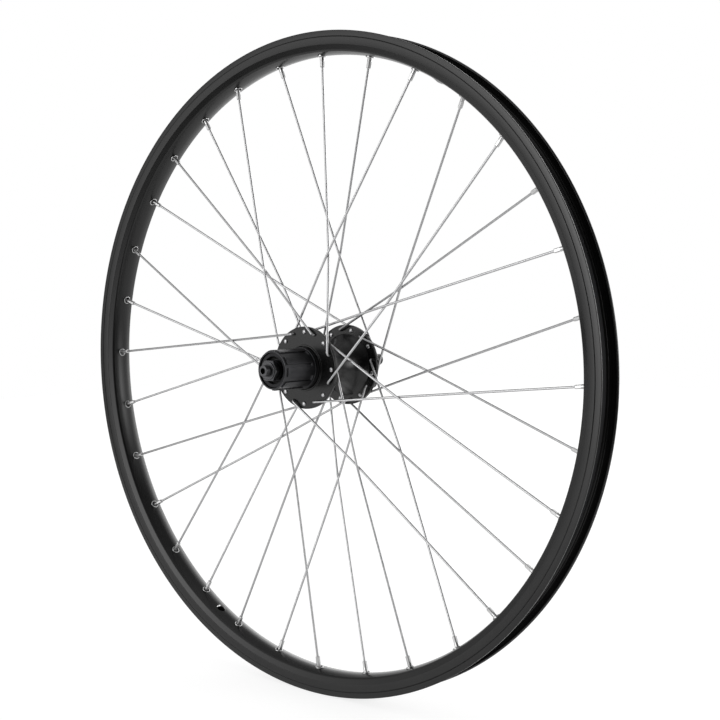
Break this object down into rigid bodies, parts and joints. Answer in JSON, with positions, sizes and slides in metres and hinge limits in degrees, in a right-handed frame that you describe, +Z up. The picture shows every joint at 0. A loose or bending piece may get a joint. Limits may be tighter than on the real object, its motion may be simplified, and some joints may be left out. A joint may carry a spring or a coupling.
{
  "type": "bicycle rear wheel",
  "caption": "Rear mountain bicycle wheel without tyre: black hooked rim, crossed steel spokes, hub with disc-brake seat, splined freehub and hollow axle.",
  "frame": {"origin": "centre of the wheel: on the axle's line, midway between the two locknut faces, in the rim's middle plane", "axes": "+Y along the axle towards the brake side, +Z up, drive side at -Y"},
  "size_m": [0.572, 0.146, 0.572],
  "materials": {
    "rim_anodised": "satin black anodised",
    "hub_anodised": "satin black anodised",
    "tape": "matt",
    "plated_steel": "bright nickel plate",
    "plated_brass": "bright nickel plate",
    "spoke_steel": "drawn stainless",
    "axle_steel": "zinc plate",
    "freehub_steel": "dark satin plate",
    "bearing_steel": "ground",
    "ball_steel": "polished",
    "seal_rubber": "matt"
  },
  "bodies": {
    "axle_set": {"axle": "axle_steel", "drive_cone": "bearing_steel", "disc_cone": "bearing_steel", "drive_spacer": "axle_steel", "disc_spacer": "axle_steel", "drive_locknut": "axle_steel", "disc_locknut": "axle_steel", "drive_seal": "seal_rubber", "disc_seal": "seal_rubber"},
    "wheel": {"rim": "rim_anodised", "rim_tape": "tape", "eyelets": "plated_steel", "nipples": "plated_brass", "spoke_01": "spoke_steel", "spoke_02": "spoke_steel", "spoke_03": "spoke_steel", "spoke_04": "spoke_steel", "spoke_05": "spoke_steel", "spoke_06": "spoke_steel", "spoke_07": "spoke_steel", "spoke_08": "spoke_steel", "spoke_09": "spoke_steel", "spoke_10": "spoke_steel", "spoke_11": "spoke_steel", "spoke_12": "spoke_steel", "spoke_13": "spoke_steel", "spoke_14": "spoke_steel", "spoke_15": "spoke_steel", "spoke_16": "spoke_steel", "spoke_17": "spoke_steel", "spoke_18": "spoke_steel", "spoke_19": "spoke_steel", "spoke_20": "spoke_steel", "spoke_21": "spoke_steel", "spoke_22": "spoke_steel", "spoke_23": "spoke_steel", "spoke_24": "spoke_steel", "spoke_25": "spoke_steel", "spoke_26": "spoke_steel", "spoke_27": "spoke_steel", "spoke_28": "spoke_steel", "spoke_29": "spoke_steel", "spoke_30": "spoke_steel", "spoke_31": "spoke_steel", "spoke_32": "spoke_steel", "hub_shell": "hub_anodised", "disc_bearing_cup": "bearing_steel", "drive_bearing_cup": "bearing_steel", "disc_dust_cap": "plated_steel", "freehub_core": "bearing_steel", "freehub_bolt": "bearing_steel", "pawl_springs": "bearing_steel"},
    "freehub": {"freehub_body": "freehub_steel", "freehub_seal": "seal_rubber"},
    "drive_ball_set": {"drive_balls": "ball_steel"},
    "disc_ball_set": {"disc_balls": "ball_steel"},
    "freehub_inner_ball_set": {"freehub_inner_balls": "ball_steel"},
    "freehub_outer_ball_set": {"freehub_outer_balls": "ball_steel"},
    "first_pawl": {"pawl_1": "bearing_steel"},
    "second_pawl": {"pawl_2": "bearing_steel"}
  },
  "joints": [
    {"name": "wheel_spin", "type": "hinge", "parent": "axle_set", "child": "wheel", "pos_m": [0, 0, 0], "axis": [0, 1, 0], "continuous": true},
    {"name": "drive_ball_roll", "type": "hinge", "parent": "axle_set", "child": "drive_ball_set", "pos_m": [0, 0, 0], "axis": [0, 1, 0], "continuous": true},
    {"name": "disc_ball_roll", "type": "hinge", "parent": "axle_set", "child": "disc_ball_set", "pos_m": [0, 0, 0], "axis": [0, 1, 0], "continuous": true},
    {"name": "freehub_spin", "type": "hinge", "parent": "wheel", "child": "freehub", "pos_m": [0, 0, 0], "axis": [0, 1, 0], "continuous": true},
    {"name": "freehub_inner_ball_roll", "type": "hinge", "parent": "wheel", "child": "freehub_inner_ball_set", "pos_m": [0, 0, 0], "axis": [0, 1, 0], "continuous": true},
    {"name": "freehub_outer_ball_roll", "type": "hinge", "parent": "wheel", "child": "freehub_outer_ball_set", "pos_m": [0, 0, 0], "axis": [0, 1, 0], "continuous": true},
    {"name": "pawl_1_swing", "type": "hinge", "parent": "wheel", "child": "first_pawl", "pos_m": [0.0112, -0.0329, 0], "axis": [0, 1, 0], "range_deg": [0, 10]},
    {"name": "pawl_2_swing", "type": "hinge", "parent": "wheel", "child": "second_pawl", "pos_m": [-0.0112, -0.0329, 0], "axis": [0, 1, 0], "range_deg": [0, 10]}
  ],
  "couplings": [
    {"joint": "drive_ball_roll", "follows": "wheel_spin", "ratio": 0.6194},
    {"joint": "disc_ball_roll", "follows": "wheel_spin", "ratio": 0.6194},
    {"joint": "freehub_inner_ball_roll", "follows": "freehub_spin", "ratio": 0.5432},
    {"joint": "freehub_outer_ball_roll", "follows": "freehub_spin", "ratio": 0.5432}
  ]
}
